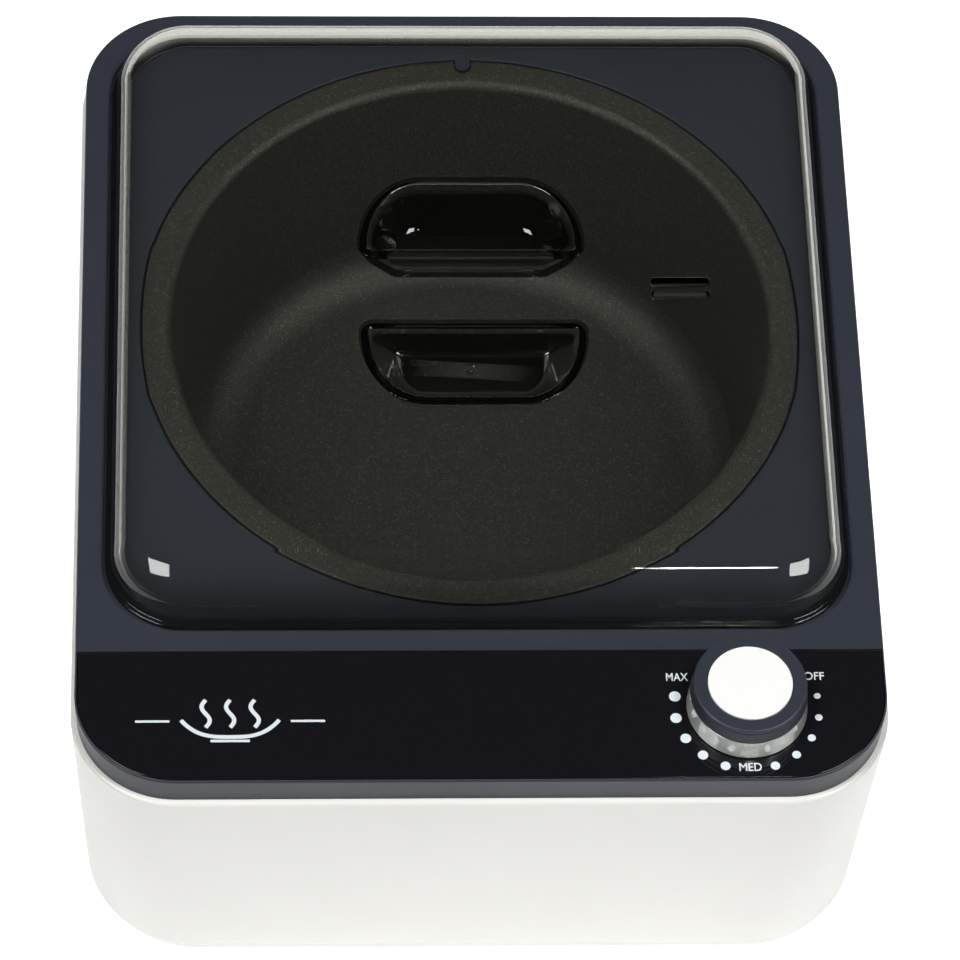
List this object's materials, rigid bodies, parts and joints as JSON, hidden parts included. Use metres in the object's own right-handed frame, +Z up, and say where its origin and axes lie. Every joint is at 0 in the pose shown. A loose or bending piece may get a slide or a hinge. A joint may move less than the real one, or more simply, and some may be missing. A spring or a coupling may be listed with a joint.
{
  "type": "paraffin wax bath",
  "caption": "Tabletop wax warmer with a lift-out round pot, smoked domed lid with finger grips, rotary heat control and a heater under the pot.",
  "frame": {"origin": "centre of the footprint, on the surface that the feet stand on", "axes": "+Z up, +Y to the back, +X to the user's right when facing the control panel"},
  "size_m": [0.2532, 0.3006, 0.1261],
  "materials": {
    "off_white_plastic": "satin moulded",
    "navy_grey_plastic": "satin moulded",
    "gloss_black_panel": "high gloss",
    "smoked_clear": "smoked clear, polished",
    "speckled_coating": "speckled non-stick",
    "polished_skirt": "silver grey, polished",
    "white_disc": "satin",
    "black_base": "fine texture",
    "foot_rubber": "matte",
    "spun_aluminium": "spun",
    "zinc_steel": "zinc plated",
    "brass_contact": "stamped",
    "copper_capillary": "drawn copper",
    "silicone_seal": "matte",
    "glass_fibre_felt": "felted",
    "element_sheath": "heat-tinted",
    "phenolic_body": "moulded phenolic",
    "terminal_ceramic": "unglazed ceramic",
    "wire_brown": "silicone insulation",
    "wire_blue": "silicone insulation",
    "wire_green": "silicone insulation",
    "wire_white": "glass-braid insulation"
  },
  "bodies": {
    "base": {"housing": "off_white_plastic", "top_deck": "navy_grey_plastic", "control_panel": "gloss_black_panel", "base_plate": "black_base", "mains_inlet": "black_base", "foot_front_left": "foot_rubber", "foot_front_right": "foot_rubber", "foot_rear_left": "foot_rubber", "foot_rear_right": "foot_rubber", "base_screw_front_left": "zinc_steel", "base_screw_front_right": "zinc_steel", "base_screw_rear_left": "zinc_steel", "base_screw_rear_right": "zinc_steel", "chamber_screw_front_left": "zinc_steel", "chamber_screw_front_right": "zinc_steel", "chamber_screw_rear_left": "zinc_steel", "chamber_screw_rear_right": "zinc_steel", "element_clamp": "zinc_steel", "clamp_stud": "zinc_steel", "clamp_nut": "zinc_steel", "fuse_clip": "zinc_steel", "bulb_clip": "zinc_steel", "thermostat_nut": "zinc_steel", "heating_chamber": "spun_aluminium", "chamber_seal": "silicone_seal", "insulation_jacket": "glass_fibre_felt", "heating_element": "element_sheath", "element_pin_1": "brass_contact", "element_pin_2": "brass_contact", "earth_tab": "brass_contact", "thermostat_blade_1": "brass_contact", "thermostat_blade_2": "brass_contact", "inlet_pin_live": "brass_contact", "inlet_pin_earth": "brass_contact", "inlet_pin_neutral": "brass_contact", "terminal_screw_1": "brass_contact", "terminal_screw_2": "brass_contact", "thermal_fuse": "terminal_ceramic", "terminal_block": "terminal_ceramic", "sensor_bulb": "copper_capillary", "capillary_tube": "copper_capillary", "thermostat_body": "phenolic_body", "wire_live": "wire_brown", "wire_thermostat_feed": "wire_brown", "wire_neutral": "wire_blue", "wire_element_return": "wire_blue", "wire_switched": "wire_white", "wire_fuse_to_element": "wire_white", "wire_earth": "wire_green"},
    "knob": {"knob_cap": "navy_grey_plastic", "knob_disc": "white_disc", "knob_skirt": "polished_skirt", "knob_spindle": "zinc_steel"},
    "pot": {"inner_pot": "speckled_coating"},
    "lid": {"lid": "smoked_clear"}
  },
  "joints": [
    {"name": "knob_turn", "type": "hinge", "parent": "base", "child": "knob", "pos_m": [0.08124, -0.12282, 0.1086], "axis": [0, 0, 1], "range_deg": [-240, 0]},
    {"name": "pot_lift", "type": "slide", "parent": "base", "child": "pot", "axis": [0, 0, 1], "range_m": [0, 0.12]},
    {"name": "lid_lift", "type": "slide", "parent": "pot", "child": "lid", "axis": [0, 0, 1], "range_m": [0, 0.1]}
  ]
}
